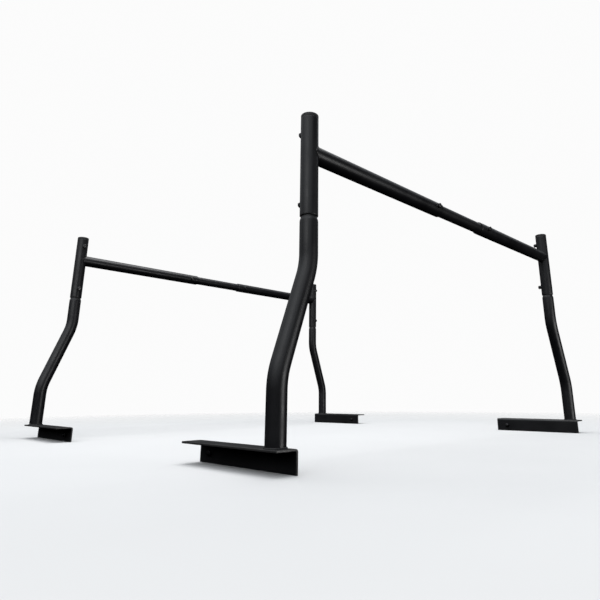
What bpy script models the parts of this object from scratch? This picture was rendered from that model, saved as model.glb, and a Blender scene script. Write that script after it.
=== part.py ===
"""Ladder rack for a pickup truck: two adjustable tube frames that stand on the bed's side rails.

X runs across the truck, Y along its bed towards the cab, and Z up. The origin is under the rack's
middle, level with the lower edges of the foot flanges. Lengths are in metres, angles in radians.
"""

import math

import bmesh
import bpy
from mathutils import Matrix, Vector

# Frames and posts
FRAME_SPACING = 1.46
FOOT_SPACING = 1.572
TOP_SPACING = 1.400
OVERALL_HEIGHT = 0.832
CROSSBAR_HEIGHT = 0.729
LOWER_BEND_HEIGHT = 0.192
UPPER_BEND_HEIGHT = 0.442
BEND_RADIUS = 0.180

# Tubes
OUTER_RADIUS = 0.04445 / 2
INNER_RADIUS = 0.0381 / 2
WALL = 0.0020
EDGE_ROUND = 0.0006
SLEEVE_END_HEIGHT = 0.563
SWAGE_LENGTH = 0.014
SPIGOT_LENGTH = 0.200
STUB_END = 0.1275
CENTRE_TUBE_LENGTH = 0.720

# Foot: a plate that lies on the rail, with a flange that hangs down inside the bed
PLATE_WIDTH = 0.0570
PLATE_THICKNESS = 0.0048
PLATE_SHORT_REACH = 0.037
PLATE_LONG_REACH = 0.311
PLATE_EDGE_ROUND = 0.0008
FLANGE_HEIGHT = 0.050
FOLD_INNER_RADIUS = 0.0015
FLANGE_BOLT_INSET = 0.0460
FLANGE_BOLT_DROP = 0.0275

# End cap
CAP_HEIGHT = 0.0100
CAP_ROUND = 0.0025
CAP_STEM_LENGTH = 0.0140
CAP_STEM_CLEARANCE = 0.0004
CAP_WALL = 0.0020

# Hardware: 8 mm hexagon bolts, welded nuts on the tubes and loose nuts behind the flanges
SHANK_RADIUS = 0.0040
HOLE_RADIUS = 0.00435
HEX_APOTHEM = 0.0065
HEAD_HEIGHT = 0.0053
NUT_HEIGHT = 0.0055
HEX_CHAMFER = 0.0009
CLAMP_REACH = 0.0370
TIE_BOLT_DROP = 0.0440
RAIL_LIP = 0.0030
FLANGE_BOLT_SPARE = 0.0035

# Fits and facets
GAP = 0.0003
TUBE_SIDES = 24
HEX_SIDES = 12
OUTER_BEND_STEPS = 5
BORE_BEND_STEPS = 2
FOLD_STEPS = 3
ROUND_STEPS = 2
SMOOTH_ANGLE = math.radians(40)

SIDES = {"left": -1, "right": 1}
FRAMES = {"rear": -1, "front": 1}


def clear_scene():
    for old in list(bpy.data.objects):
        bpy.data.objects.remove(old, do_unlink=True)


# Materials


def paint(name, colour, roughness, metallic):
    """A Principled BSDF material in one colour."""
    material = bpy.data.materials.new(name)
    material.use_nodes = True
    shader = material.node_tree.nodes["Principled BSDF"]
    shader.inputs["Base Color"].default_value = (*colour, 1)
    shader.inputs["Roughness"].default_value = roughness
    shader.inputs["Metallic"].default_value = metallic
    return material


def make_materials():
    return {
        "foot": paint("foot_powder_coat", (0.020, 0.020, 0.022), 0.50, 0.0),
        "lower_post": paint("lower_post_powder_coat", (0.018, 0.018, 0.020), 0.42, 0.0),
        "upper_post": paint("upper_post_powder_coat", (0.018, 0.018, 0.020), 0.40, 0.0),
        "stub": paint("crossbar_powder_coat", (0.018, 0.018, 0.020), 0.40, 0.0),
        "centre_tube": paint("centre_tube_powder_coat", (0.016, 0.016, 0.018), 0.44, 0.0),
        "cap": paint("cap_plastic", (0.012, 0.012, 0.013), 0.55, 0.0),
        "bolt": paint("black_zinc_bolt", (0.085, 0.085, 0.090), 0.35, 1.0),
        "weld_nut": paint("weld_nut_powder_coat", (0.020, 0.020, 0.022), 0.50, 0.0),
        "nut": paint("black_zinc_nut", (0.085, 0.085, 0.090), 0.38, 1.0),
    }


# Meshes


def ring(bm, radii, place):
    """Vertices at the given radii, at equal angles round the local Z axis of the matrix."""
    step = 2 * math.pi / len(radii)
    verts = []
    for index, radius in enumerate(radii):
        angle = index * step
        local = Vector((radius * math.cos(angle), radius * math.sin(angle), 0))
        verts.append(bm.verts.new(place @ local))
    return verts


def skin(bm, rings):
    """Quads between each ring and the next."""
    for low, high in zip(rings, rings[1:]):
        for index in range(len(low)):
            after = (index + 1) % len(low)
            bm.faces.new((low[index], low[after], high[after], high[index]))


def finish_mesh(bm, name):
    bmesh.ops.recalc_face_normals(bm, faces=bm.faces)
    mesh = bpy.data.meshes.new(name)
    bm.to_mesh(mesh)
    bm.free()
    return mesh


def circle(radius, count=TUBE_SIDES):
    return [radius] * count


def hexagon(apothem):
    """Radii of a hexagon with flats towards +X, sampled at its corners and at its flats' middles."""
    return [apothem / (1 if index % 2 == 0 else math.cos(math.pi / 6)) for index in range(HEX_SIDES)]


def solid_mesh(name, sections):
    """A closed solid through (radii, place) sections, with a flat face at each end."""
    bm = bmesh.new()
    rings = [ring(bm, radii, place) for radii, place in sections]
    skin(bm, rings)
    bm.faces.new(rings[0])
    bm.faces.new(rings[-1])
    return finish_mesh(bm, name)


def hollow_mesh(name, outside, inside):
    """A pipe between outer and inner (radii, place) sections, open at both ends."""
    bm = bmesh.new()
    outer = [ring(bm, radii, place) for radii, place in outside]
    inner = [ring(bm, radii, place) for radii, place in inside]
    skin(bm, outer)
    skin(bm, inner)
    skin(bm, [outer[0], inner[0]])
    skin(bm, [outer[-1], inner[-1]])
    return finish_mesh(bm, name)


def along_z(radii, height):
    return (radii, Matrix.Translation((0, 0, height)))


def cut(mesh, cutters):
    """The mesh less each (cutter mesh, matrix)."""
    body = bpy.data.objects.new(mesh.name, mesh)
    bpy.context.scene.collection.objects.link(body)
    helpers = []
    for cutter_mesh, place in cutters:
        helper = bpy.data.objects.new("cutter", cutter_mesh)
        bpy.context.scene.collection.objects.link(helper)
        helper.matrix_world = place
        modifier = body.modifiers.new("cut", "BOOLEAN")
        modifier.operation = "DIFFERENCE"
        modifier.solver = "EXACT"
        modifier.object = helper
        helpers.append(helper)
    bpy.context.view_layer.update()
    evaluated = body.evaluated_get(bpy.context.evaluated_depsgraph_get())
    result = bpy.data.meshes.new_from_object(evaluated)
    result.name = mesh.name
    for helper in [body, *helpers]:
        bpy.data.objects.remove(helper, do_unlink=True)
    return result


def hole_cutter(length):
    """A rod for a bolt hole, centred on the origin along Z."""
    sections = [along_z(circle(HOLE_RADIUS, HEX_SIDES), end * length / 2) for end in (-1, 1)]
    return solid_mesh("hole_cutter", sections)


def facing(direction, point):
    """A matrix that stands local Z along the direction at the point."""
    turn = Vector(direction).to_track_quat("Z", "Y").to_matrix().to_4x4()
    return Matrix.Translation(point) @ turn


# Tubes


def straight_tube(name, low, high, radius):
    """A tube along Z with eased outer edges at both ends."""
    outside = [
        along_z(circle(radius - EDGE_ROUND), low),
        along_z(circle(radius), low + EDGE_ROUND),
        along_z(circle(radius), high - EDGE_ROUND),
        along_z(circle(radius - EDGE_ROUND), high),
    ]
    inside = [along_z(circle(radius - WALL), end) for end in (low, high)]
    return hollow_mesh(name, outside, inside)


def post_route(steps):
    """(point, lean) along the lower post's axis from its foot up to the upper bend's end.

    The foot is at the origin and the post leans towards +X between its two bends.
    """
    offset = (FOOT_SPACING - TOP_SPACING) / 2
    lean = math.atan2(offset, UPPER_BEND_HEIGHT - LOWER_BEND_HEIGHT)
    tangent = BEND_RADIUS * math.tan(lean / 2)
    lower = LOWER_BEND_HEIGHT - FLANGE_HEIGHT - tangent
    upper = UPPER_BEND_HEIGHT - FLANGE_HEIGHT + tangent
    route = [(Vector((0, 0, GAP)), 0.0)]
    for step in range(steps + 1):
        angle = lean * step / steps
        swing = Vector((1 - math.cos(angle), 0, math.sin(angle)))
        route.append((Vector((0, 0, lower)) + BEND_RADIUS * swing, angle))
    for step in range(steps + 1):
        angle = lean * (1 - step / steps)
        swing = Vector((1 - math.cos(angle), 0, math.sin(angle)))
        route.append((Vector((offset, 0, upper)) - BEND_RADIUS * swing, angle))
    return route


def lower_post_mesh():
    """The bent lower post, whose top is swaged down to the spigot that the sleeve slides over."""
    offset = (FOOT_SPACING - TOP_SPACING) / 2
    swage_top = SLEEVE_END_HEIGHT - FLANGE_HEIGHT
    swage_low = swage_top - SWAGE_LENGTH
    spigot_top = swage_top + SPIGOT_LENGTH

    def bent(radius, steps):
        return [
            (circle(radius), Matrix.Translation(point) @ Matrix.Rotation(lean, 4, "Y"))
            for point, lean in post_route(steps)
        ]

    def level(radius, height):
        return (circle(radius), Matrix.Translation((offset, 0, height)))

    outside = bent(OUTER_RADIUS, OUTER_BEND_STEPS) + [
        level(OUTER_RADIUS, swage_low),
        level(INNER_RADIUS, swage_top),
        level(INNER_RADIUS, spigot_top - EDGE_ROUND),
        level(INNER_RADIUS - EDGE_ROUND, spigot_top),
    ]
    inside = bent(OUTER_RADIUS - WALL, BORE_BEND_STEPS) + [
        level(OUTER_RADIUS - WALL, swage_low),
        level(INNER_RADIUS - WALL, swage_top),
        level(INNER_RADIUS - WALL, spigot_top),
    ]
    return hollow_mesh("lower_post", outside, inside)


def upper_post_mesh():
    """The upper post from its lower end, at the origin, up to the cap, with its bolt holes towards +Y."""
    length = OVERALL_HEIGHT - CAP_HEIGHT - SLEEVE_END_HEIGHT - GAP
    tube = straight_tube("upper_post", 0, length, OUTER_RADIUS)
    rod = hole_cutter(4 * WALL)
    holes = [
        (rod, facing((0, 1, 0), (0, OUTER_RADIUS - WALL / 2, height)))
        for height in (CLAMP_REACH, tie_bolt_height())
    ]
    return cut(tube, holes)


def tie_bolt_height():
    """Height of the upper bolt above the sleeve's lower end."""
    return OVERALL_HEIGHT - TIE_BOLT_DROP - SLEEVE_END_HEIGHT


def stub_mesh():
    """The crossbar's outer tube along +Z from the post's axis, coped round the post, its hole towards -Y."""
    length = TOP_SPACING / 2 - STUB_END
    tube = straight_tube("crossbar_stub", 0, length, OUTER_RADIUS)
    post_height = 4 * OUTER_RADIUS
    post = [along_z(circle(OUTER_RADIUS + GAP), end * post_height / 2) for end in (-1, 1)]
    cutters = [
        (solid_mesh("cope_cutter", post), facing((1, 0, 0), (0, 0, 0))),
        (hole_cutter(4 * WALL), facing((0, -1, 0), (0, -OUTER_RADIUS + WALL / 2, length - CLAMP_REACH))),
    ]
    return cut(tube, cutters)


def centre_tube_mesh():
    half = CENTRE_TUBE_LENGTH / 2
    return straight_tube("centre_tube", -half, half, INNER_RADIUS)


# Foot


def fold_outline():
    """The folded section's (X, Z) points from the plate's outer edge to the flange, which hangs at +X."""
    half = PLATE_WIDTH / 2
    outer = FOLD_INNER_RADIUS + PLATE_THICKNESS
    turns = [math.pi / 2 * step / FOLD_STEPS for step in range(FOLD_STEPS + 1)]

    def arc(radius, angles):
        return [(half - outer + radius * math.sin(turn), -outer + radius * math.cos(turn)) for turn in angles]

    flange_foot = [(half, -FLANGE_HEIGHT), (half - PLATE_THICKNESS, -FLANGE_HEIGHT)]
    return [
        (-half, 0),
        *arc(outer, turns),
        *flange_foot,
        *arc(FOLD_INNER_RADIUS, reversed(turns)),
        (-half, -PLATE_THICKNESS),
    ]


def foot_mesh(side):
    """A plate with its top at the origin's height and a flange on its inboard edge.

    The post stands at the origin and the plate's long end runs towards +Y. Inboard is -side along X.
    """
    inboard = -side
    bm = bmesh.new()
    section = bm.faces.new(
        [bm.verts.new((inboard * x, -PLATE_SHORT_REACH, z)) for x, z in fold_outline()]
    )
    pulled = bmesh.ops.extrude_face_region(bm, geom=[section])["geom"]
    moved = [item for item in pulled if isinstance(item, bmesh.types.BMVert)]
    bmesh.ops.translate(bm, verts=moved, vec=(0, PLATE_SHORT_REACH + PLATE_LONG_REACH, 0))
    bmesh.ops.recalc_face_normals(bm, faces=bm.faces)
    sharp = [edge for edge in bm.edges if edge.calc_face_angle() > SMOOTH_ANGLE]
    bmesh.ops.bevel(bm, geom=sharp, offset=PLATE_EDGE_ROUND, segments=1, affect="EDGES", profile=0.5)
    angle = finish_mesh(bm, "foot_plate")
    place = facing((inboard, 0, 0), (inboard * (PLATE_WIDTH - PLATE_THICKNESS) / 2, *flange_bolt_point()))
    return cut(angle, [(hole_cutter(4 * PLATE_THICKNESS), place)])


def flange_bolt_point():
    """(Y, Z) of the flange's bolt from the post's foot."""
    return PLATE_LONG_REACH - FLANGE_BOLT_INSET, -FLANGE_BOLT_DROP


# End cap


def cap_mesh():
    """A plastic plug: a rounded head on the tube's end, at the origin, and a hollow stem below it."""
    head = OUTER_RADIUS
    stem = OUTER_RADIUS - WALL - CAP_STEM_CLEARANCE
    bm = bmesh.new()
    profile = [(stem, -CAP_STEM_LENGTH), (stem, 0), (head, 0), (head, CAP_HEIGHT - CAP_ROUND)]
    for step in range(1, ROUND_STEPS + 1):
        angle = math.pi / 2 * step / ROUND_STEPS
        radius = head - CAP_ROUND * (1 - math.cos(angle))
        profile.append((radius, CAP_HEIGHT - CAP_ROUND * (1 - math.sin(angle))))
    outer = [ring(bm, circle(radius), Matrix.Translation((0, 0, z))) for radius, z in profile]
    bore = [(stem - CAP_WALL, -CAP_STEM_LENGTH), (stem - CAP_WALL, -CAP_WALL)]
    inner = [ring(bm, circle(radius), Matrix.Translation((0, 0, z))) for radius, z in bore]
    skin(bm, outer)
    skin(bm, inner)
    skin(bm, [outer[0], inner[0]])
    bm.faces.new(outer[-1])
    bm.faces.new(inner[-1])
    return finish_mesh(bm, "end_cap")


# Hardware


def bolt_mesh(name, shank_length):
    """A hexagon bolt: its head stands on the origin along +Z and its shank runs down along -Z."""
    shank = circle(SHANK_RADIUS, HEX_SIDES)
    tip = circle(SHANK_RADIUS - HEX_CHAMFER, HEX_SIDES)
    crown = circle(HEX_APOTHEM - HEX_CHAMFER, HEX_SIDES)
    sections = [
        along_z(tip, -shank_length),
        along_z(shank, -shank_length + HEX_CHAMFER),
        along_z(shank, 0),
        along_z(hexagon(HEX_APOTHEM), 0),
        along_z(hexagon(HEX_APOTHEM), HEAD_HEIGHT - HEX_CHAMFER),
        along_z(crown, HEAD_HEIGHT),
    ]
    return solid_mesh(name, sections)


def nut_mesh(name):
    """A hexagon nut that stands on the origin along +Z."""
    crown = circle(HEX_APOTHEM - HEX_CHAMFER / 2, HEX_SIDES)
    outside = [
        along_z(hexagon(HEX_APOTHEM), 0),
        along_z(hexagon(HEX_APOTHEM), NUT_HEIGHT - HEX_CHAMFER),
        along_z(crown, NUT_HEIGHT),
    ]
    inside = [along_z(circle(HOLE_RADIUS, HEX_SIDES), height) for height in (0, NUT_HEIGHT)]
    return hollow_mesh(name, outside, inside)


def clamp_shank_length():
    """From the head, through the welded nut and the tube's wall, to just short of the inner tube."""
    return GAP + NUT_HEIGHT + GAP + OUTER_RADIUS - INNER_RADIUS - GAP


def flange_shank_length():
    """From the head, through the flange, the rail's lip and the nut."""
    return GAP + PLATE_THICKNESS + RAIL_LIP + NUT_HEIGHT + FLANGE_BOLT_SPARE


# Assembly


def empty(name, parent, place):
    """A guide that carries the pieces of one body."""
    guide = bpy.data.objects.new(name, None)
    guide.empty_display_size = 0.05
    bpy.context.scene.collection.objects.link(guide)
    guide.parent = parent
    guide.matrix_local = place
    return guide


def piece(name, mesh, material, parent, place):
    """One named sub-part at its place on its body."""
    made = bpy.data.objects.new(name, mesh)
    bpy.context.scene.collection.objects.link(made)
    made.parent = parent
    made.matrix_local = place
    if not mesh.materials:
        mesh.materials.append(material)
    mesh.shade_smooth()
    mesh.set_sharp_from_angle(angle=SMOOTH_ANGLE)
    return made


def clamp_bolt(names, parent, outward, surface, meshes, materials):
    """A nut welded on a tube's outer face, at the surface point, and the bolt that is screwed through it."""
    bolt_name, nut_name = names
    direction = Vector(outward)
    base = Vector(surface) + direction * GAP
    head = base + direction * (NUT_HEIGHT + GAP)
    piece(nut_name, meshes["weld_nut"], materials["weld_nut"], parent, facing(direction, base))
    piece(bolt_name, meshes["clamp_bolt"], materials["bolt"], parent, facing(direction, head))


def make_base(corner, frame, side, meshes, materials):
    """The foot, its bent post and its flange bolt. The empty is on the height slide's axis at the foot."""
    foot = Vector((side * FOOT_SPACING / 2, 0, FLANGE_HEIGHT))
    base = empty(f"{corner}_base", frame, Matrix.Translation(foot))
    lean_inboard = Matrix.Rotation(0 if side < 0 else math.pi, 4, "Z")
    piece(f"{corner}_foot_plate", meshes["foot"][side], materials["foot"], base, Matrix.Identity(4))
    piece(f"{corner}_lower_post", meshes["lower_post"], materials["lower_post"], base, lean_inboard)
    y, z = flange_bolt_point()
    inboard_face = PLATE_WIDTH / 2
    head = Vector((-side * (inboard_face + GAP), y, z))
    nut = Vector((-side * (inboard_face - PLATE_THICKNESS - RAIL_LIP), y, z))
    piece(
        f"{corner}_flange_bolt", meshes["flange_bolt"], materials["bolt"], base, facing((-side, 0, 0), head)
    )
    piece(f"{corner}_flange_nut", meshes["nut"], materials["nut"], base, facing((side, 0, 0), nut))


def make_head(corner, frame, side, bolt_face, meshes, materials):
    """The upper post with its cap, bolts and crossbar stub. The empty is on the post's axis."""
    axis = Vector((side * TOP_SPACING / 2, 0, SLEEVE_END_HEIGHT))
    head = empty(f"{corner}_head", frame, Matrix.Translation(axis))
    piece(f"{corner}_upper_post", meshes["upper_post"], materials["upper_post"], head, Matrix.Identity(4))
    cap_seat = Vector((0, 0, OVERALL_HEIGHT - CAP_HEIGHT - SLEEVE_END_HEIGHT))
    piece(f"{corner}_end_cap", meshes["cap"], materials["cap"], head, Matrix.Translation(cap_seat))
    for role, height in (("height", CLAMP_REACH), ("tie", tie_bolt_height())):
        names = (f"{corner}_{role}_bolt", f"{corner}_{role}_weld_nut")
        clamp_bolt(names, head, (0, 1, 0), (0, OUTER_RADIUS, height), meshes, materials)

    bar = Vector((0, 0, CROSSBAR_HEIGHT - SLEEVE_END_HEIGHT))
    inward = Vector((-side, 0, 0))
    # The stub's own axis runs inward, and its hole side faces the bolt's side.
    across = Vector((0, -bolt_face, 0))
    turn = Matrix((across.cross(inward), across, inward)).transposed().to_4x4()
    piece(
        f"{corner}_crossbar_stub", meshes["stub"], materials["stub"], head, Matrix.Translation(bar) @ turn
    )
    reach = TOP_SPACING / 2 - STUB_END - CLAMP_REACH
    surface = bar + inward * reach + Vector((0, bolt_face * OUTER_RADIUS, 0))
    names = (f"{corner}_width_bolt", f"{corner}_width_weld_nut")
    clamp_bolt(names, head, (0, bolt_face, 0), surface, meshes, materials)


def make_frame(name, end, meshes, materials):
    """One frame, turned so that its feet's long ends run towards the rack's middle."""
    turn = Matrix.Rotation(0 if end < 0 else math.pi, 4, "Z")
    place = Matrix.Translation((0, end * FRAME_SPACING / 2, 0)) @ turn
    frame = empty(f"{name}_frame", None, place)
    # The width bolts face the rear on both frames.
    bolt_face = -1 if end < 0 else 1
    for side_name, side in SIDES.items():
        local_side = side * -end
        corner = f"{name}_{side_name}"
        make_base(corner, frame, local_side, meshes, materials)
        make_head(corner, frame, local_side, bolt_face, meshes, materials)
    bar = empty(f"{name}_bar", frame, Matrix.Translation((0, 0, CROSSBAR_HEIGHT)))
    along_x = Matrix.Rotation(math.pi / 2, 4, "Y")
    piece(f"{name}_centre_tube", meshes["centre_tube"], materials["centre_tube"], bar, along_x)


def main():
    clear_scene()
    materials = make_materials()
    meshes = {
        "foot": {side: foot_mesh(side) for side in (-1, 1)},
        "lower_post": lower_post_mesh(),
        "upper_post": upper_post_mesh(),
        "stub": stub_mesh(),
        "centre_tube": centre_tube_mesh(),
        "cap": cap_mesh(),
        "clamp_bolt": bolt_mesh("clamp_bolt", clamp_shank_length()),
        "flange_bolt": bolt_mesh("flange_bolt", flange_shank_length()),
        "weld_nut": nut_mesh("weld_nut"),
        "nut": nut_mesh("nut"),
    }
    for name, end in FRAMES.items():
        make_frame(name, end, meshes, materials)


main()
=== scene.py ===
"""Looks of the ladder rack: finely modelled tubes, feet, caps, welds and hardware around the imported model.

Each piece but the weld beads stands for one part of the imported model, and takes its place from that part's
box. Lengths are in metres, X runs across the truck, Y along its bed towards the cab and Z up.
"""

import math

import bmesh
import bpy
from mathutils import Matrix, Vector


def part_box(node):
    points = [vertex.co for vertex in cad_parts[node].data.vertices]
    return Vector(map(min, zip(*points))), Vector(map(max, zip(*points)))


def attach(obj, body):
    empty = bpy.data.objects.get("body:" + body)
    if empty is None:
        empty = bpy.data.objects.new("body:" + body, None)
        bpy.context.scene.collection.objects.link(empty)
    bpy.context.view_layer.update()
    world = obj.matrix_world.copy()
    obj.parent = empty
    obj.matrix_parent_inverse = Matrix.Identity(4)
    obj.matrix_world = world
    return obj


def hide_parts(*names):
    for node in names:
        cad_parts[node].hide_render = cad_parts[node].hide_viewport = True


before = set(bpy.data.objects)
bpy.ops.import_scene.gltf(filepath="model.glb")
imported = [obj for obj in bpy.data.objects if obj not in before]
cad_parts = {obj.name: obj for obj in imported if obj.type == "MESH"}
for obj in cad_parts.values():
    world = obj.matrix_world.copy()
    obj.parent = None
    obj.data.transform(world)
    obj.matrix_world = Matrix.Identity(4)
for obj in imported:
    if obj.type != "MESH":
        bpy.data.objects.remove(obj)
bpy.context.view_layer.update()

# Tubes. Posts and the crossbars' outer tubes have the outer radius, and centre tubes and spigots the inner.
OUTER_RADIUS = 0.04445 / 2
INNER_RADIUS = 0.0381 / 2
WALL = 0.0020
RIM_ROUND = 0.0007
TUBE_SIDES = 64
RIM_STEPS = 3

# Wear: how far paint is rubbed from an edge, and how bare each kind of edge is, from 0 to 1
WEAR_REACH = 0.004
RIM_WEAR = 1.0
BORE_WEAR = 0.6
SWAGE_WEAR = 0.75
FOLD_WEAR = 0.62
PLATE_EDGE_WEAR = 0.95
HEX_CORNER_WEAR = 0.8
HEX_BASE_WEAR = 0.4
THREAD_WEAR = 0.3
NUT_BORE_WEAR = 0.2

# Lower post: heights are above the foot plate's top
LOWER_BEND_HEIGHT = 0.142
UPPER_BEND_HEIGHT = 0.392
BEND_RADIUS = 0.180
BEND_STEPS = 12
BEND_FLATTENING = 0.012
SPIGOT_LENGTH = 0.200
SWAGE_LENGTH = 0.014
SWAGE_STEPS = 8

# Foot. Its end faces take a little less than the whole edge round, so that no corner closes to a point.
PLATE_THICKNESS = 0.0048
PLATE_EDGE_ROUND = 0.0009
PLATE_EDGE_STEPS = 3
END_ROUND_SHARE = 0.999
FOLD_INNER_RADIUS = 0.0015
FOLD_STEPS = 6
PLATE_HOLE_RADIUS = 0.00435
DRILL_SIDES = 32
DRILL_REACH = 0.03

# Cap
CAP_HEIGHT = 0.0100
CAP_ROUND = 0.0026
CAP_ROUND_STEPS = 6
CAP_LOWER_CHAMFER = 0.0004
CAP_STEM_CLEARANCE = 0.0004
CAP_WALL = 0.0020
CAP_HOLLOW_TIP = 0.0020
CAP_CROWN = 0.0006
CAP_CROWN_STEPS = 7
CAP_DIMPLE_RADIUS = 0.0035
CAP_DIMPLE_DEPTH = 0.0007
CAP_DIMPLE_STEPS = 3

# Hardware. The run-out is the share of its radius that a thread loses at the bolt's tip.
SHANK_RADIUS = 0.0040
THREAD_PITCH = 0.00125
THREAD_DEPTH = 0.0006
THREAD_SAMPLES = 6
THREAD_RUN_OUT = 0.16
HEX_SIDES = 48
HEX_APOTHEM = 0.0065
HEX_CROWN_RADIUS = HEX_APOTHEM - 0.0003
HEAD_HEIGHT = 0.0053
WASHER_FACE = 0.0004
NUT_BORE_RADIUS = SHANK_RADIUS + 0.0002
NUT_MOUTH_RADIUS = SHANK_RADIUS + 0.0008
NUT_MOUTH_DEPTH = 0.0006
CHAMFER_SLOPE = math.tan(math.radians(28))
CHAMFER_STEPS = 5

# Welds. The lift moves a foot's bead out of its corner, the drift varies a bead's ripples along its length,
# and the softness rounds the saddle line where it crosses the post's sides.
BEAD_RADIUS = 0.0020
SADDLE_BEAD_RADIUS = 0.8 * BEAD_RADIUS
NUT_BEAD_RADIUS = 0.0012
BEAD_SIDES = 10
BEAD_LIFT = 0.25 * BEAD_RADIUS
RIPPLE_LENGTH = 0.0034
RIPPLE_DEPTH = 0.16
RIPPLE_SAMPLES = 5
RIPPLE_DRIFT = 0.06
RIPPLE_DRIFT_RATE = 1.7
LEAST_RIPPLES = 6
LEAST_BEAD_SAMPLES = 24
SADDLE_LENGTH = 2.3 * math.pi * OUTER_RADIUS
SADDLE_SOFTNESS = 0.12 * OUTER_RADIUS

# Camera and stage
CAMERA_POINT = (-1.4843, -1.5708, 0.1503)
CAMERA_YAW = math.radians(-46.170)
CAMERA_PITCH = math.radians(15.416)
CAMERA_ROLL = math.radians(0.354)
CAMERA_LENS = 30.661
CAMERA_SHIFT = (-0.05968, -0.07464)
SENSOR_WIDTH = 36.0
FLOOR_REACH = 12.0
FLOOR_FADE = (1.3, 3.3)
FLOOR_TONES = ((0.79, 0.79, 0.79), (0.82, 0.82, 0.82))

# Lights: name, point, target, size, power in watts, and spread in degrees
LIGHTS = [
    ("ceiling", (0, 0, 3.6), (0, 0, 0), (2.6, 2.6), 78, 180),
    ("left", (-2.6, -0.4, 1.15), (-0.7, 1.3, 0.75), (2.6, 0.5), 3.2, 100),
    ("low_right", (0.8, -3.4, 0.15), (0, 0.2, 0.35), (1.7, 1.3), 30, 180),
]

# Sky: its least brightness and the heights between which it comes up. Then, for each bright part: its
# direction, the cosine where it starts, the cosine where it is full, and its brightness.
SKY_COLOUR = (0.92, 0.96, 1.0)
SURROUND_COLOUR = (0.97, 0.97, 0.97)
SKY_LOW = 0.012
SKY_RISE = (0.10, 0.42)
SKY_LOBES = [
    ((0, 0, 1), 0.60, 0.97, 0.85),
    ((-0.80, -0.45, 0.55), 0.55, 0.88, 0.95),
    ((-0.55, 0.75, 0.42), 0.60, 0.90, 0.5),
    ((0.84, 0.12, 0.52), 0.90, 0.99, 0.55),
]

# Paint: colours, and noise scales in features per metre
COAT_SPECULAR = 0.45
STEEL_COLOUR = (0.17, 0.165, 0.16)
ZINC_STEEL_COLOUR = (0.21, 0.205, 0.20)
BLACK_ZINC_COLOUR = (0.085, 0.085, 0.090)
DUST_COLOUR = (0.10, 0.098, 0.094)
CHALK_COLOUR = (0.10, 0.10, 0.10)
SCRATCH_COLOUR = (0.06, 0.06, 0.063)
CLOUD_SCALE = 7.0
GLOSS_SCALE = 19.0
PEEL_SCALE = 330.0
SPECK_SCALE = 520.0
WEAR_SCALE = 750.0
GRAIN_SCALE = 1900.0
PEEL_DEPTH = 0.00016
GRAIN_DEPTH = 0.00005

SMOOTH_ANGLE = math.radians(32)
SIDES = {"left": -1, "right": 1}
FRAMES = {"rear": -1, "front": 1}


# Mesh tools


def ring(place, sides, radius, height=0.0):
    """Points round a matrix's local Z. Radius and height are numbers or functions of the angle."""
    points = []
    for index in range(sides):
        angle = 2 * math.pi * index / sides
        reach = radius(angle) if callable(radius) else radius
        rise = height(angle) if callable(height) else height
        points.append(place @ Vector((reach * math.cos(angle), reach * math.sin(angle), rise)))
    return points


def ring_mesh(name, rings, wear=None, closed=False):
    """A mesh through rings of points.

    Wear is one value for each ring, from 0 to 1 where paint has rubbed thin. A closed mesh joins the last
    ring to the first; an open one gets a flat face at each end.
    """
    sides = len(rings[0])
    points = [point for points in rings for point in points]
    faces = []
    last = len(rings) if closed else len(rings) - 1
    for level in range(last):
        low = level * sides
        high = (level + 1) % len(rings) * sides
        for index in range(sides):
            after = (index + 1) % sides
            faces.append((low + index, low + after, high + after, high + index))
    if not closed:
        faces.append(tuple(reversed(range(sides))))
        faces.append(tuple(range(len(points) - sides, len(points))))
    mesh = bpy.data.meshes.new(name)
    mesh.from_pydata(points, [], faces)
    amounts = mesh.attributes.new("wear", "FLOAT", "POINT")
    values = [value for value in (wear or [0.0] * len(rings)) for _ in range(sides)]
    amounts.data.foreach_set("value", values)
    return outward(mesh)


def outward(mesh):
    """The mesh with its faces pointing out and its sharp edges kept sharp."""
    bm = bmesh.new()
    bm.from_mesh(mesh)
    bmesh.ops.recalc_face_normals(bm, faces=bm.faces)
    bm.to_mesh(mesh)
    bm.free()
    mesh.shade_smooth()
    mesh.set_sharp_from_angle(angle=SMOOTH_ANGLE)
    return mesh


def show(mesh, node, body, slot, material, place=None):
    """The piece that stands for a CAD node."""
    piece = add(mesh, f"{node}_finish", body, slot, material, place)
    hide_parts(node)
    return piece


def add(mesh, name, body, slot, material, place=None):
    """A piece that rides on a body."""
    piece = bpy.data.objects.new(name, mesh)
    bpy.context.scene.collection.objects.link(piece)
    if place:
        piece.matrix_world = place
    piece.data.materials.append(material)
    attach(piece, body)
    return piece


def facing(direction, point):
    """A matrix that stands local Z along the direction at the point."""
    turn = Vector(direction).to_track_quat("Z", "Y").to_matrix().to_4x4()
    return Matrix.Translation(point) @ turn


def rim(radius, end, sign):
    """(radius, height) points of a rounded outer rim, from the tube's side round to its end face."""
    points = []
    for step in range(RIM_STEPS + 1):
        angle = math.pi / 2 * step / RIM_STEPS
        reach = radius - RIM_ROUND * (1 - math.cos(angle))
        points.append((reach, end - sign * RIM_ROUND * (1 - math.sin(angle))))
    return points


# Shader tools


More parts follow.
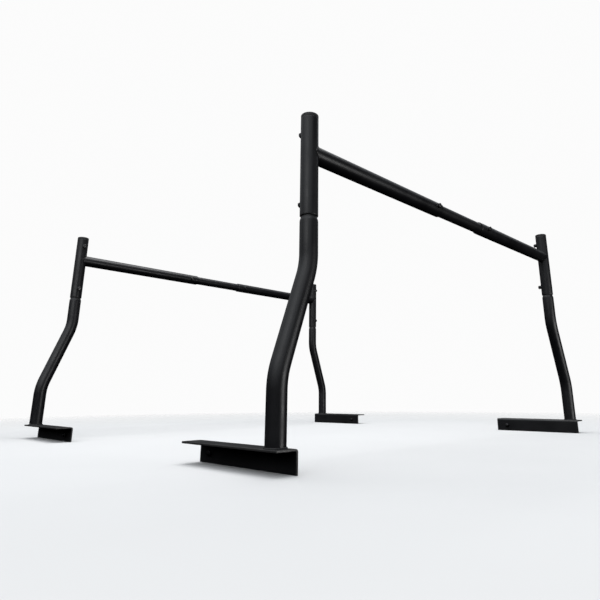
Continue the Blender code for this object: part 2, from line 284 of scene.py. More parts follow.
class Paint:
    """A Principled material, with short calls for the nodes that feed its shader."""

    def __init__(self, name, colour, roughness, metallic=0.0):
        self.material = bpy.data.materials.new(name)
        self.material.use_nodes = True
        self.tree = self.material.node_tree
        self.shader = self.tree.nodes["Principled BSDF"]
        self.shader.inputs["Base Color"].default_value = (*colour, 1)
        self.shader.inputs["Roughness"].default_value = roughness
        self.shader.inputs["Metallic"].default_value = metallic
        self.place = self.node("ShaderNodeTexCoord").outputs["Object"]

    def node(self, kind, **inputs):
        """A new node. Inputs are named as its sockets are, with underscores for spaces."""
        made = self.tree.nodes.new(kind)
        for name, value in inputs.items():
            self.feed(made.inputs[name.replace("_", " ")], value)
        return made

    def feed(self, socket, value):
        """Links another node's output to the socket, or sets the socket to a plain value."""
        if isinstance(value, bpy.types.NodeSocket):
            self.tree.links.new(value, socket)
        else:
            socket.default_value = value

    def noise(self, scale, detail=2.0, stretch=None):
        """Noise over the piece, from about 0.3 to 0.7. Stretch scales its local axes."""
        place = self.place
        if stretch:
            place = self.node("ShaderNodeMapping", Vector=place, Scale=stretch).outputs["Vector"]
        made = self.node("ShaderNodeTexNoise", Vector=place, Scale=scale, Detail=detail)
        return made.outputs["Fac"]

    def spread(self, value, low, high, to_low=0.0, to_high=1.0):
        """The value from low to high mapped onto to_low to to_high, and held there."""
        made = self.node("ShaderNodeMapRange", Value=value)
        for name, number in zip(("From Min", "From Max", "To Min", "To Max"), (low, high, to_low, to_high)):
            made.inputs[name].default_value = number
        return made.outputs["Result"]

    def maths(self, operation, first, second):
        """The operation on two values, each a socket or a number."""
        made = self.tree.nodes.new("ShaderNodeMath")
        made.operation = operation
        self.feed(made.inputs[0], first)
        self.feed(made.inputs[1], second)
        return made.outputs["Value"]

    def mix(self, amount, first, second):
        """A colour from first to second. Colours are sockets or red, green, blue."""
        made = self.tree.nodes.new("ShaderNodeMix")
        made.data_type = "RGBA"
        self.feed(made.inputs["Factor"], amount)
        for socket, colour in ((made.inputs["A"], first), (made.inputs["B"], second)):
            self.feed(socket, colour if isinstance(colour, bpy.types.NodeSocket) else (*colour, 1))
        return made.outputs["Result"]

    def rubbed(self, low, high, scale):
        """How bare the paint is: the mesh's wear, broken up by noise."""
        wear = self.node("ShaderNodeAttribute")
        wear.attribute_name = "wear"
        broken = self.maths("MULTIPLY", wear.outputs["Fac"], self.noise(scale, detail=5.0))
        return self.spread(broken, low, high)

    def facing_up(self, low, high):
        """1 on surfaces that face up, where dust settles."""
        normal = self.node("ShaderNodeNewGeometry").outputs["Normal"]
        split = self.node("ShaderNodeSeparateXYZ", Vector=normal)
        return self.spread(split.outputs["Z"], low, high)

    def bump(self, height, depth, under=None):
        """A normal roughened by the height, from 0 to 1, over the depth, on top of another such normal."""
        made = self.node("ShaderNodeBump", Height=height, Distance=depth)
        if under:
            self.tree.links.new(under, made.inputs["Normal"])
        return made.outputs["Normal"]

    def finish(self, **sockets):
        """Feeds the shader's sockets and gives the material."""
        for name, value in sockets.items():
            self.feed(self.shader.inputs[name.replace("_", " ")], value)
        return self.material


def powder_coat(name, colour, dust, rough, scratches=0.0):
    """Satin black powder coat: orange peel, grain, uneven gloss, dust on top and bare steel on rubbed rims.

    Dust and scratches are strengths from 0 to 1, and rough is the least and greatest roughness.
    """
    paint = Paint(name, colour, rough[0])
    paint.shader.inputs["Specular IOR Level"].default_value = COAT_SPECULAR
    cloud = paint.noise(CLOUD_SCALE, detail=4.0)
    speck = paint.noise(SPECK_SCALE, detail=3.0)
    lighter = tuple(1.9 * part for part in colour)
    tone = paint.mix(paint.spread(cloud, 0.35, 0.65, 0.0, 0.6), colour, lighter)
    patches = paint.spread(cloud, 0.38, 0.60, 0.2, 1.0)
    patchy = paint.maths("MULTIPLY", paint.spread(speck, 0.42, 0.70), patches)
    settled = paint.maths("MULTIPLY", paint.maths("MULTIPLY", patchy, paint.facing_up(0.2, 0.95)), dust)
    tone = paint.mix(settled, tone, DUST_COLOUR)
    gloss = paint.spread(paint.noise(GLOSS_SCALE, detail=5.0), 0.32, 0.68, rough[0], rough[1])
    gloss = paint.maths("ADD", gloss, paint.maths("MULTIPLY", settled, 0.25))
    peel = paint.bump(paint.noise(PEEL_SCALE, detail=1.5), PEEL_DEPTH)
    grain = paint.bump(paint.noise(GRAIN_SCALE, detail=2.0), GRAIN_DEPTH, under=peel)
    if scratches:
        lines = paint.noise(scale=9.0, detail=6.0, stretch=(70.0, 70.0, 1.2))
        marks = paint.maths("MULTIPLY", paint.spread(lines, 0.60, 0.68), scratches)
        tone = paint.mix(marks, tone, SCRATCH_COLOUR)
        gloss = paint.maths("SUBTRACT", gloss, paint.maths("MULTIPLY", marks, 0.10))
    bare = paint.rubbed(0.40, 0.66, WEAR_SCALE)
    tone = paint.mix(bare, tone, STEEL_COLOUR)
    return paint.finish(Base_Color=tone, Roughness=gloss, Metallic=bare, Normal=grain)


def black_zinc(name, colour):
    """Black zinc plating: faint blotches, fine tool marks and steel showing through on rubbed corners."""
    paint = Paint(name, colour, 0.34, metallic=1.0)
    blotch = paint.noise(scale=160.0, detail=4.0)
    duller = tuple(0.55 * part for part in colour)
    tone = paint.mix(paint.spread(blotch, 0.38, 0.66, 0.0, 0.8), colour, duller)
    bare = paint.rubbed(0.36, 0.56, scale=900.0)
    tone = paint.mix(bare, tone, ZINC_STEEL_COLOUR)
    gloss = paint.spread(paint.noise(scale=420.0, detail=5.0), 0.30, 0.70, 0.26, 0.46)
    scrapes = paint.noise(scale=1500.0, detail=2.0, stretch=(1.0, 1.0, 4.0))
    marks = paint.bump(scrapes, depth=0.00004)
    return paint.finish(Base_Color=tone, Roughness=gloss, Normal=marks)


def moulded_plastic(name, colour):
    """Black polyethylene: a fine spark-eroded texture and a chalky top."""
    paint = Paint(name, colour, 0.55)
    cloud = paint.noise(scale=60.0, detail=4.0)
    lighter = tuple(2.4 * part for part in colour)
    tone = paint.mix(paint.spread(cloud, 0.35, 0.70, 0.0, 0.5), colour, lighter)
    upward = paint.facing_up(0.2, 1.0)
    flecks = paint.spread(paint.noise(scale=240.0), 0.4, 0.7, 0.0, 0.25)
    tone = paint.mix(paint.maths("MULTIPLY", upward, flecks), tone, CHALK_COLOUR)
    gloss = paint.spread(cloud, 0.30, 0.70, 0.46, 0.62)
    texture = paint.bump(paint.noise(scale=1400.0, detail=3.0), depth=0.00010)
    return paint.finish(Base_Color=tone, Roughness=gloss, Normal=texture)


def make_materials():
    """One material for each slot."""
    return {
        "foot": powder_coat("foot_finish", (0.0095, 0.0095, 0.0105), 0.30, (0.36, 0.50)),
        "lower_post": powder_coat("lower_post_finish", (0.0085, 0.0085, 0.0100), 0.15, (0.32, 0.44)),
        "upper_post": powder_coat("upper_post_finish", (0.0080, 0.0080, 0.0095), 0.15, (0.31, 0.43)),
        "crossbar": powder_coat("crossbar_finish", (0.0080, 0.0080, 0.0095), 0.22, (0.31, 0.43)),
        "centre_tube": powder_coat("centre_tube_finish", (0.0075, 0.0075, 0.0088), 0.18, (0.34, 0.48), 0.5),
        "cap": moulded_plastic("cap_finish", (0.0085, 0.0085, 0.0090)),
        "bolt": black_zinc("bolt_finish", BLACK_ZINC_COLOUR),
        "weld_nut": powder_coat("weld_nut_finish", (0.0095, 0.0095, 0.0105), 0.15, (0.38, 0.50)),
        "nut": black_zinc("nut_finish", BLACK_ZINC_COLOUR),
    }


# Tubes


def straight_tube(name, place, length, radius, start_height=None):
    """A tube from the matrix's origin along its local Z.

    start_height, a function of the angle and radius, cuts the near end to a neighbour's curve.
    """
    rings, wear = [], []

    def level(reach, height, worn):
        rings.append(ring(place, TUBE_SIDES, reach, height))
        wear.append(worn)

    if start_height:
        level(radius, lambda angle: start_height(angle, radius), 0.0)
        level(radius, lambda angle: start_height(angle, radius) + WEAR_REACH, 0.0)
        level(radius, radius + 2 * WEAR_REACH, 0.0)
    else:
        for reach, height in reversed(rim(radius, 0, -1)):
            level(reach, height, RIM_WEAR)
        level(radius, WEAR_REACH, 0.0)
    level(radius, length - WEAR_REACH, 0.0)
    for reach, height in rim(radius, length, 1):
        level(reach, height, RIM_WEAR)
    bore = radius - WALL
    level(bore, length, BORE_WEAR)
    if start_height:
        level(bore, radius + 2 * WEAR_REACH, 0.0)
        level(bore, lambda angle: start_height(angle, bore), 0.0)
    else:
        level(bore, 0.0, BORE_WEAR)
    return ring_mesh(name, rings, wear, closed=True)


def post_route(offset, inboard):
    """(x, height, lean) along the lower post's axis, from its foot at the origin through both bends."""
    lean = math.atan2(offset, UPPER_BEND_HEIGHT - LOWER_BEND_HEIGHT)
    tangent = BEND_RADIUS * math.tan(lean / 2)
    route = []
    for step in range(BEND_STEPS + 1):
        angle = lean * step / BEND_STEPS
        x = BEND_RADIUS * (1 - math.cos(angle))
        route.append((inboard * x, LOWER_BEND_HEIGHT - tangent + BEND_RADIUS * math.sin(angle), angle))
    for step in range(BEND_STEPS + 1):
        angle = lean * (1 - step / BEND_STEPS)
        x = offset - BEND_RADIUS * (1 - math.cos(angle))
        route.append((inboard * x, UPPER_BEND_HEIGHT + tangent - BEND_RADIUS * math.sin(angle), angle))
    return route


def lower_post(corner, side, materials):
    """The bent post, slightly oval in its bends, with a smooth swage up to its spigot.

    Returns the middle of its foot.
    """
    node = f"{corner}_lower_post"
    low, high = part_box(node)
    inboard = -side
    outer_face, inner_face = (low.x, high.x) if side < 0 else (high.x, low.x)
    foot = Vector((outer_face + inboard * OUTER_RADIUS, (low.y + high.y) / 2, low.z))
    offset = abs(inner_face - outer_face) - 2 * OUTER_RADIUS
    swage_top = high.z - low.z - SPIGOT_LENGTH
    rings, wear = [], []

    def level(radius, x, z, lean=0.0, oval=0.0, worn=0.0):
        place = Matrix.Translation(foot + Vector((x, 0, z))) @ Matrix.Rotation(inboard * lean, 4, "Y")
        rings.append(ring(place, TUBE_SIDES, lambda angle: radius * (1 - oval * math.cos(2 * angle))))
        wear.append(worn)

    def bends(radius):
        route = post_route(offset, inboard)
        for index, (x, z, lean) in enumerate(route):
            along = (index % (BEND_STEPS + 1)) / BEND_STEPS
            level(radius, x, z, lean, BEND_FLATTENING * math.sin(math.pi * along))

    def swage(full, small):
        for step in range(SWAGE_STEPS + 1):
            along = step / SWAGE_STEPS
            eased = along * along * (3 - 2 * along)
            radius = full + (small - full) * eased
            height = swage_top - SWAGE_LENGTH * (1 - along)
            level(radius, inboard * offset, height, worn=SWAGE_WEAR * math.sin(math.pi * along))

    level(OUTER_RADIUS, 0, 0)
    bends(OUTER_RADIUS)
    swage(OUTER_RADIUS, INNER_RADIUS)
    top = high.z - low.z
    for reach, height in rim(INNER_RADIUS, top, 1):
        level(reach, inboard * offset, height, worn=RIM_WEAR)
    outer_count = len(rings)
    level(OUTER_RADIUS - WALL, 0, 0)
    bends(OUTER_RADIUS - WALL)
    swage(OUTER_RADIUS - WALL, INNER_RADIUS - WALL)
    level(INNER_RADIUS - WALL, inboard * offset, top, worn=BORE_WEAR)
    rings[outer_count:] = reversed(rings[outer_count:])
    wear[outer_count:] = reversed(wear[outer_count:])
    mesh = ring_mesh(node, rings, wear, closed=True)
    show(mesh, node, f"{corner}_base", "lower_post", materials["lower_post"])
    return foot


def post_axis(corner):
    """The upper post's axis at its lower end."""
    low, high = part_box(f"{corner}_upper_post")
    return Vector(((low.x + high.x) / 2, (low.y + high.y) / 2, low.z))


def upper_post(corner, materials):
    """The straight sleeve over the lower post's spigot."""
    node = f"{corner}_upper_post"
    low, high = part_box(node)
    mesh = straight_tube(node, Matrix.Translation(post_axis(corner)), high.z - low.z, OUTER_RADIUS)
    show(mesh, node, f"{corner}_head", "upper_post", materials["upper_post"])


def stub_place(corner, side):
    """Local Z runs inward from the post's axis along the crossbar, and local X runs up."""
    low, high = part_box(f"{corner}_crossbar_stub")
    axis = post_axis(corner)
    inward = Vector((-side, 0, 0))
    up = Vector((0, 0, 1))
    turn = Matrix((up, inward.cross(up), inward)).transposed().to_4x4()
    return Matrix.Translation((axis.x, axis.y, (low.z + high.z) / 2)) @ turn


def cope(angle, radius):
    """Where a tube of the radius, square to the post, meets the post's surface."""
    across = radius * math.sin(angle)
    return math.sqrt(max(OUTER_RADIUS**2 - across**2, 0.0)) + RIM_ROUND / 2


def crossbar_stub(corner, side, materials):
    """The crossbar's outer tube, coped to the post."""
    node = f"{corner}_crossbar_stub"
    low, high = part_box(node)
    inner_end = high.x if side < 0 else low.x
    length = abs(inner_end - post_axis(corner).x)
    mesh = straight_tube(node, stub_place(corner, side), length, OUTER_RADIUS, cope)
    show(mesh, node, f"{corner}_head", "crossbar", materials["crossbar"])


def centre_tube(name, materials):
    """The tube that slides in both outer tubes. Its own Z runs along it, as its scratches do."""
    node = f"{name}_centre_tube"
    low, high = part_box(node)
    start = Vector((low.x, (low.y + high.y) / 2, (low.z + high.z) / 2))
    length = high.x - low.x
    mesh = straight_tube(node, Matrix.Identity(4), length, INNER_RADIUS)
    place = facing((1, 0, 0), start)
    show(mesh, node, f"{name}_bar", "centre_tube", materials["centre_tube"], place)


# Foot


def foot_section(width, height, inset):
    """The folded plate's section, drawn in by the inset, as (across, up, wear) points.

    Across runs from the plate's outer edge, at 0, to the flange's outer face. Up is 0 on the plate's top.
    """
    fold = FOLD_INNER_RADIUS + PLATE_THICKNESS
    edge = PLATE_EDGE_ROUND
    flat = edge + WEAR_REACH
    flange_back = width - PLATE_THICKNESS

    def arc(across, up, radius, start, end, steps, worn):
        turns = [start + (end - start) * step / steps for step in range(steps + 1)]
        return [
            (across + radius * math.cos(math.radians(turn)), up + radius * math.sin(math.radians(turn)), worn)
            for turn in turns
        ]

    def corner(across, up, start, end):
        return arc(across, up, edge - inset, start, end, PLATE_EDGE_STEPS, PLATE_EDGE_WEAR)

    return [
        *corner(edge, -edge, 180, 90),
        (flat, -inset, 0.0),
        *arc(width - fold, -fold, fold - inset, 90, 0, FOLD_STEPS, FOLD_WEAR),
        (width - inset, -fold - WEAR_REACH, 0.0),
        (width - inset, -height + flat, 0.0),
        *corner(width - edge, -height + edge, 0, -90),
        *corner(flange_back + edge, -height + edge, -90, -180),
        (flange_back + inset, -height + flat, 0.0),
        *arc(width - fold, -fold, FOLD_INNER_RADIUS + inset, 0, 90, FOLD_STEPS, 0.0),
        (flat, -PLATE_THICKNESS + inset, 0.0),
        *corner(edge, -PLATE_THICKNESS + edge, -90, -180),
    ]


def foot_stations(length):
    """(distance along the foot, inset, wear) from one end's face to the other's."""
    near = []
    for step in range(PLATE_EDGE_STEPS + 1):
        angle = math.pi / 2 * step / PLATE_EDGE_STEPS
        inset = PLATE_EDGE_ROUND * (1 - math.sin(angle)) * END_ROUND_SHARE
        near.append((PLATE_EDGE_ROUND * (1 - math.cos(angle)), inset, PLATE_EDGE_WEAR))
    near.append((PLATE_EDGE_ROUND + WEAR_REACH, 0.0, 0.0))
    far = [(length - along, inset, worn) for along, inset, worn in reversed(near)]
    return near + far


def foot_plate(corner, side, materials):
    """The plate and its flange, bent from one strip, with rounded edges."""
    node = f"{corner}_foot_plate"
    low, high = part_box(node)
    inboard = -side
    outer_edge = low.x if side < 0 else high.x
    points, wear = [], []
    stations = foot_stations(high.y - low.y)
    for along, inset, end_wear in stations:
        for across, up, worn in foot_section(high.x - low.x, high.z - low.z, inset):
            points.append(Vector((outer_edge + inboard * across, low.y + along, high.z + up)))
            wear.append(max(worn, end_wear))
    sides = len(points) // len(stations)
    rings = [points[start : start + sides] for start in range(0, len(points), sides)]
    mesh = ring_mesh(node, rings)
    mesh.attributes["wear"].data.foreach_set("value", wear)
    piece = show(mesh, node, f"{corner}_base", "foot", materials["foot"])
    drill(piece, corner)


def drill(piece, corner):
    """Cuts the flange's bolt hole and applies it."""
    low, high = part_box(f"{corner}_flange_bolt")
    middle = (low + high) / 2
    place = facing((1, 0, 0), middle)
    ends = [ring(place, DRILL_SIDES, PLATE_HOLE_RADIUS, height) for height in (-DRILL_REACH, DRILL_REACH)]
    rod = ring_mesh("rod", ends)
    helper = bpy.data.objects.new("rod", rod)
    bpy.context.scene.collection.objects.link(helper)
    cut = piece.modifiers.new("hole", "BOOLEAN")
    cut.operation = "DIFFERENCE"
    cut.solver = "EXACT"
    cut.object = helper
    bpy.context.view_layer.update()
    drilled = bpy.data.meshes.new_from_object(piece.evaluated_get(bpy.context.evaluated_depsgraph_get()))
    piece.modifiers.clear()
    piece.data = outward(drilled)
    bpy.data.objects.remove(helper, do_unlink=True)


# Cap


def end_cap(corner, materials):
    """A moulded plug: a softly domed head with a gate dimple, on a hollow stem."""
    node = f"{corner}_end_cap"
    low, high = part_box(node)
    seat = high.z - CAP_HEIGHT
    stem = OUTER_RADIUS - WALL - CAP_STEM_CLEARANCE
    flat = OUTER_RADIUS - CAP_ROUND
    side_top = CAP_HEIGHT - CAP_CROWN - CAP_ROUND
    profile = [
        (CAP_HOLLOW_TIP, -CAP_WALL),
        (stem - CAP_WALL, -CAP_WALL),
        (stem - CAP_WALL, low.z - seat),
        (stem, low.z - seat),
        (stem, 0),
        (OUTER_RADIUS - CAP_LOWER_CHAMFER, 0),
        (OUTER_RADIUS, CAP_LOWER_CHAMFER),
        (OUTER_RADIUS, side_top),
    ]
    for step in range(1, CAP_ROUND_STEPS + 1):
        angle = math.pi / 2 * step / CAP_ROUND_STEPS
        profile.append((flat + CAP_ROUND * math.cos(angle), side_top + CAP_ROUND * math.sin(angle)))
    for step in range(1, CAP_CROWN_STEPS + 1):
        reach = flat + (CAP_DIMPLE_RADIUS - flat) * step / CAP_CROWN_STEPS
        profile.append((reach, CAP_HEIGHT - CAP_CROWN * (reach / flat) ** 2))
    for step in range(1, CAP_DIMPLE_STEPS + 1):
        reach = CAP_DIMPLE_RADIUS * (1 - step / (CAP_DIMPLE_STEPS + 1))
        angle = math.pi / 2 * step / CAP_DIMPLE_STEPS
        profile.append((reach, CAP_HEIGHT - CAP_DIMPLE_DEPTH * math.sin(angle)))
    axis = post_axis(corner)
    place = Matrix.Translation((axis.x, axis.y, seat))
    rings = [ring(place, TUBE_SIDES, reach, height) for reach, height in profile]
    mesh = ring_mesh(node, rings)
    show(mesh, node, f"{corner}_head", "cap", materials["cap"])


# Hardware


def hex_radius(angle):
    """Distance to a hexagon's side, with flats towards local X."""
    sixth = math.pi / 3
    return HEX_APOTHEM / math.cos((angle + sixth / 2) % sixth - sixth / 2)


def hex_levels(place, bottom, top, bottom_chamfer=False):
    """(ring, wear) pairs up a hexagon whose corners are turned off at the top, and at the bottom if asked."""
    depth = (HEX_APOTHEM / math.cos(math.pi / 6) - HEX_CROWN_RADIUS) * CHAMFER_SLOPE

    def cone(inset):
        limit = HEX_CROWN_RADIUS + inset / CHAMFER_SLOPE
        return lambda angle: min(hex_radius(angle), limit)

    insets = [depth * step / CHAMFER_STEPS for step in range(CHAMFER_STEPS + 1)]
    levels = []
    if bottom_chamfer:
        for inset in insets:
            levels.append((ring(place, HEX_SIDES, cone(inset), bottom + inset), HEX_CORNER_WEAR))
    else:
        levels.append((ring(place, HEX_SIDES, hex_radius, bottom), HEX_BASE_WEAR))
    for inset in reversed(insets):
        levels.append((ring(place, HEX_SIDES, cone(inset), top - inset), HEX_CORNER_WEAR))
    return levels


def thread_levels(place, end):
    """(ring, wear) pairs along a thread from height 0 on local Z to its end, where it tapers off."""
    count = round(abs(end) / THREAD_PITCH * THREAD_SAMPLES)
    levels = []
    for index in range(count + 1):
        height = end * index / count
        run_out = min(1.0, abs(height - end) / THREAD_PITCH)

        def profile(angle, height=height, run_out=run_out):
            turn = (height / THREAD_PITCH - angle / (2 * math.pi)) % 1.0
            reach = SHANK_RADIUS - THREAD_DEPTH * abs(2 * turn - 1)
            return reach * (1 - THREAD_RUN_OUT * (1 - run_out))

        levels.append((ring(place, HEX_SIDES, profile, height), THREAD_WEAR))
    return levels


def bolt(node, body, direction, materials):
    """A hexagon bolt with a washer face. The direction runs from its tip to its head."""
    low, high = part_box(node)
    along = Vector(direction)
    middle = (low + high) / 2
    length = abs((high - low) @ along)
    place = facing(along, middle + along * (length / 2 - HEAD_HEIGHT))
    levels = list(reversed(thread_levels(place, HEAD_HEIGHT - length)))
    for height in (0.0, WASHER_FACE):
        levels.append((ring(place, HEX_SIDES, HEX_CROWN_RADIUS, height), 0.0))
    levels += hex_levels(place, WASHER_FACE, HEAD_HEIGHT)
    mesh = ring_mesh(node, [points for points, _ in levels], [worn for _, worn in levels])
    show(mesh, node, body, "bolt", materials["bolt"])


def nut(node, body, direction, slot, materials):
    """A hexagon nut with both faces chamfered and a countersunk bore."""
    low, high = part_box(node)
    along = Vector(direction)
    thickness = abs((high - low) @ along)
    place = facing(along, (low + high) / 2 - along * thickness / 2)
    levels = hex_levels(place, 0.0, thickness, bottom_chamfer=True)
    bore = [
        (NUT_MOUTH_RADIUS, thickness),
        (NUT_BORE_RADIUS, thickness - NUT_MOUTH_DEPTH),
        (NUT_BORE_RADIUS, NUT_MOUTH_DEPTH),
        (NUT_MOUTH_RADIUS, 0.0),
    ]
    for reach, height in bore:
        levels.append((ring(place, HEX_SIDES, reach, height), NUT_BORE_WEAR))
    mesh = ring_mesh(node, [points for points, _ in levels], [worn for _, worn in levels], closed=True)
    show(mesh, node, body, slot, materials[slot])


# Welds


def bead_mesh(name, points, normals, radius):
    """A rippled weld bead round a closed line of points, raised along each point's normal."""
    count = len(points)
    lengths = [0.0]
    for index in range(count):
        lengths.append(lengths[-1] + (points[(index + 1) % count] - points[index]).length)
    ripples = max(LEAST_RIPPLES, round(lengths[-1] / RIPPLE_LENGTH))
    rings = []
    for index, (point, normal) in enumerate(zip(points, normals)):
        tangent = (points[(index + 1) % count] - points[index - 1]).normalized()
        side = tangent.cross(normal).normalized()
        phase = lengths[index] / lengths[-1] * ripples
        swell = 1 + RIPPLE_DEPTH * (abs(2 * (phase % 1.0) - 1) - 0.5)
        swell += RIPPLE_DRIFT * math.sin(phase * RIPPLE_DRIFT_RATE)
        loop = []
        for step in range(BEAD_SIDES):
            angle = 2 * math.pi * step / BEAD_SIDES
            loop.append(point + radius * swell * (math.cos(angle) * normal + math.sin(angle) * side))
        rings.append(loop)
    return ring_mesh(name, rings, closed=True)


def bead_samples(length):
    """How many points a bead of the length needs to show its ripples."""
    return max(LEAST_BEAD_SAMPLES, round(length / RIPPLE_LENGTH * RIPPLE_SAMPLES))


def foot_weld(corner, foot, materials):
    """The fillet weld round the post where it stands on the plate."""
    reach = OUTER_RADIUS + BEAD_LIFT
    count = bead_samples(2 * math.pi * reach)
    angles = [2 * math.pi * index / count for index in range(count)]
    spokes = [Vector((math.cos(angle), math.sin(angle), 0)) for angle in angles]
    points = [foot + reach * spoke + Vector((0, 0, BEAD_LIFT)) for spoke in spokes]
    normals = [(spoke + Vector((0, 0, 1))).normalized() for spoke in spokes]
    mesh = bead_mesh(f"{corner}_foot_weld", points, normals, BEAD_RADIUS)
    add(mesh, f"{corner}_foot_weld", f"{corner}_base", "lower_post", materials["lower_post"])


def crossbar_weld(corner, side, materials):
    """The weld along the saddle line where the crossbar meets the post."""
    place = stub_place(corner, side)
    turn = place.to_3x3()
    count = bead_samples(SADDLE_LENGTH)
    points, normals = [], []
    for index in range(count):
        angle = 2 * math.pi * index / count
        x = OUTER_RADIUS * math.cos(angle)
        y = OUTER_RADIUS * math.sin(angle)
        z = math.hypot(x, SADDLE_SOFTNESS)
        from_bar = Vector((math.cos(angle), math.sin(angle), 0))
        from_post = Vector((0, y, z)).normalized()
        points.append(place @ Vector((x, y, z)))
        normals.append((turn @ (from_bar + from_post)).normalized())
    mesh = bead_mesh(f"{corner}_crossbar_weld", points, normals, SADDLE_BEAD_RADIUS)
    add(mesh, f"{corner}_crossbar_weld", f"{corner}_head", "crossbar", materials["crossbar"])


def nut_weld(node, name, direction, tube_axis, body, slot, materials):
    """The small weld that seats a nut on its tube, following the tube's curve."""
    low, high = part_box(node)
    along, axis = Vector(direction), Vector(tube_axis)
    across = along.cross(axis)
    thickness = abs((high - low) @ along)
    base = (low + high) / 2 - along * thickness / 2
    count = bead_samples(2 * math.pi * HEX_APOTHEM)
    points, normals = [], []
    for index in range(count):
        angle = 2 * math.pi * index / count
        reach = hex_radius(angle)
        spoke = math.cos(angle) * axis + math.sin(angle) * across
        drop = OUTER_RADIUS - math.sqrt(OUTER_RADIUS**2 - (reach * math.sin(angle)) ** 2)
        points.append(base + reach * spoke - along * drop)
        normals.append((spoke + along).normalized())
    mesh = bead_mesh(name, points, normals, NUT_BEAD_RADIUS)
    add(mesh, name, body, slot, materials[slot])


# Assembly


def make_corner(name, end, side_name, side, materials):
    """One foot and its posts, outer tube, cap and hardware. The side and end are -1 or 1."""
    corner = f"{name}_{side_name}"
    base = f"{corner}_base"
    head = f"{corner}_head"
    foot_plate(corner, side, materials)
    foot = lower_post(corner, side, materials)
    foot_weld(corner, foot, materials)
    bolt(f"{corner}_flange_bolt", base, (-side, 0, 0), materials)
    nut(f"{corner}_flange_nut", base, (side, 0, 0), "nut", materials)

    upper_post(corner, materials)
    end_cap(corner, materials)
    crossbar_stub(corner, side, materials)
    crossbar_weld(corner, side, materials)
    to_middle = (0, -end, 0)
    to_rear = (0, -1, 0)
    clamps = [
        ("height", to_middle, (0, 0, 1), "upper_post"),
        ("tie", to_middle, (0, 0, 1), "upper_post"),
        ("width", to_rear, (1, 0, 0), "crossbar"),
    ]
    for role, direction, tube_axis, slot in clamps:
        weld_nut = f"{corner}_{role}_weld_nut"
        bolt(f"{corner}_{role}_bolt", head, direction, materials)
        nut(weld_nut, head, direction, "weld_nut", materials)
        nut_weld(weld_nut, f"{corner}_{role}_nut_weld", direction, tube_axis, head, slot, materials)


# Stage


def lobe(tree, direction, towards, low, high, strength):
    """Light from round one direction.

    It rises smoothly from nothing where the cosine to that direction is low to its strength where it is high.
    """
    lean = tree.nodes.new("ShaderNodeVectorMath")
    lean.operation = "DOT_PRODUCT"
    lean.inputs[1].default_value = Vector(towards).normalized()
    tree.links.new(direction, lean.inputs[0])
    rise = tree.nodes.new("ShaderNodeMapRange")
    rise.interpolation_type = "SMOOTHSTEP"
    for name, number in zip(("From Min", "From Max", "To Min", "To Max"), (low, high, 0.0, strength)):
        rise.inputs[name].default_value = number
    tree.links.new(lean.outputs["Value"], rise.inputs["Value"])
    return rise.outputs["Result"]


def make_world():
    """A white surround to look at. Reflections see a dark room with a bright ceiling and upper walls."""
    world = bpy.data.worlds.new("studio")
    bpy.context.scene.world = world
    world.use_nodes = True
    tree = world.node_tree
    nodes, links = tree.nodes, tree.links
    nodes.clear()
    direction = nodes.new("ShaderNodeTexCoord").outputs["Generated"]
    total = None
    for towards, low, high, strength in SKY_LOBES:
        part = lobe(tree, direction, towards, low, high, strength)
        add_up = nodes.new("ShaderNodeMath")
        links.new(part, add_up.inputs[0])
        if total:
            links.new(total, add_up.inputs[1])
        else:
            add_up.inputs[1].default_value = SKY_LOW
        total = add_up.outputs["Value"]
    horizon = nodes.new("ShaderNodeMath")
    horizon.operation = "MULTIPLY"
    links.new(total, horizon.inputs[0])
    links.new(lobe(tree, direction, (0, 0, 1), *SKY_RISE, 1.0), horizon.inputs[1])
    sky = nodes.new("ShaderNodeBackground")
    sky.inputs["Color"].default_value = (*SKY_COLOUR, 1)
    links.new(horizon.outputs["Value"], sky.inputs["Strength"])
    seen = nodes.new("ShaderNodeBackground")
    seen.inputs["Color"].default_value = (*SURROUND_COLOUR, 1)
    pick = nodes.new("ShaderNodeMixShader")
    links.new(nodes.new("ShaderNodeLightPath").outputs["Is Camera Ray"], pick.inputs["Fac"])
    links.new(sky.outputs["Background"], pick.inputs[1])
    links.new(seen.outputs["Background"], pick.inputs[2])
    links.new(pick.outputs["Shader"], nodes.new("ShaderNodeOutputWorld").inputs["Surface"])


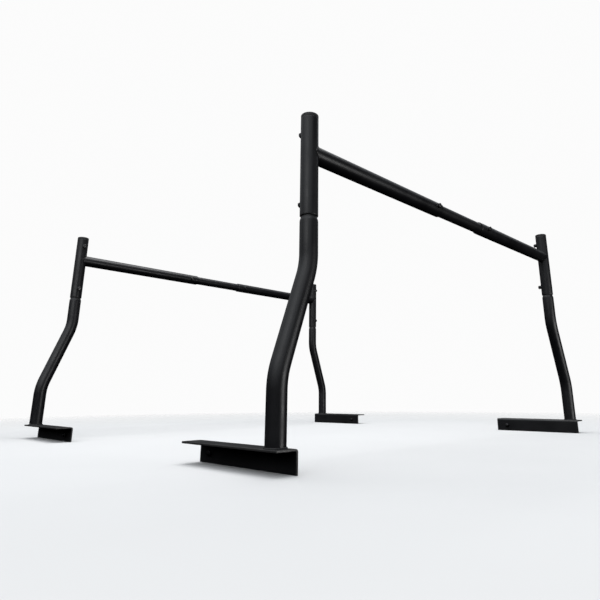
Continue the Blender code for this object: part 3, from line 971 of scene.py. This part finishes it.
def make_floor():
    """A pale floor that fades into the white surround a few metres out, and throws no light back up."""
    mesh = bpy.data.meshes.new("floor")
    corners = [(-1, -1), (1, -1), (1, 1), (-1, 1)]
    mesh.from_pydata([(FLOOR_REACH * x, FLOOR_REACH * y, 0) for x, y in corners], [], [(0, 1, 2, 3)])
    floor = bpy.data.objects.new("floor", mesh)
    bpy.context.scene.collection.objects.link(floor)
    floor.visible_glossy = False
    floor.visible_diffuse = False
    paint = Paint("floor_paint", (0.80, 0.80, 0.80), 0.9)
    cloud = paint.noise(scale=1.5, detail=3.0)
    tone = paint.mix(paint.spread(cloud, 0.3, 0.7), *FLOOR_TONES)
    distance = paint.node("ShaderNodeVectorMath")
    distance.operation = "LENGTH"
    paint.feed(distance.inputs[0], paint.place)
    fade = paint.spread(distance.outputs["Value"], *FLOOR_FADE, 1.0, 0.0)
    mesh.materials.append(paint.finish(Base_Color=tone, Alpha=fade))


def make_light(name, point, target, size, power, spread):
    """A soft rectangular light that the camera doesn't see."""
    data = bpy.data.lights.new(name, "AREA")
    data.shape = "RECTANGLE"
    data.size, data.size_y = size
    data.energy = power
    data.spread = math.radians(spread)
    light = bpy.data.objects.new(name, data)
    bpy.context.scene.collection.objects.link(light)
    light.location = point
    light.rotation_mode = "QUATERNION"
    light.rotation_quaternion = (Vector(target) - Vector(point)).to_track_quat("-Z", "Y")
    light.visible_camera = False


def make_camera():
    """The camera at the rack's rear left, low and looking up a little."""
    data = bpy.data.cameras.new("camera")
    data.sensor_width = SENSOR_WIDTH
    data.lens = CAMERA_LENS
    data.shift_x, data.shift_y = CAMERA_SHIFT
    camera = bpy.data.objects.new("camera", data)
    bpy.context.scene.collection.objects.link(camera)
    yaw = Matrix.Rotation(CAMERA_YAW, 4, "Z")
    pitch = Matrix.Rotation(math.pi / 2 + CAMERA_PITCH, 4, "X")
    roll = Matrix.Rotation(-CAMERA_ROLL, 4, "Z")
    camera.matrix_world = Matrix.Translation(CAMERA_POINT) @ yaw @ pitch @ roll
    bpy.context.scene.camera = camera


def main():
    """The stage, then every piece of both frames."""
    make_camera()
    make_world()
    make_floor()
    for light in LIGHTS:
        make_light(*light)
    materials = make_materials()
    for name, end in FRAMES.items():
        for side_name, side in SIDES.items():
            make_corner(name, end, side_name, side, materials)
        centre_tube(name, materials)
    bpy.context.scene.view_settings.view_transform = "Standard"


main()
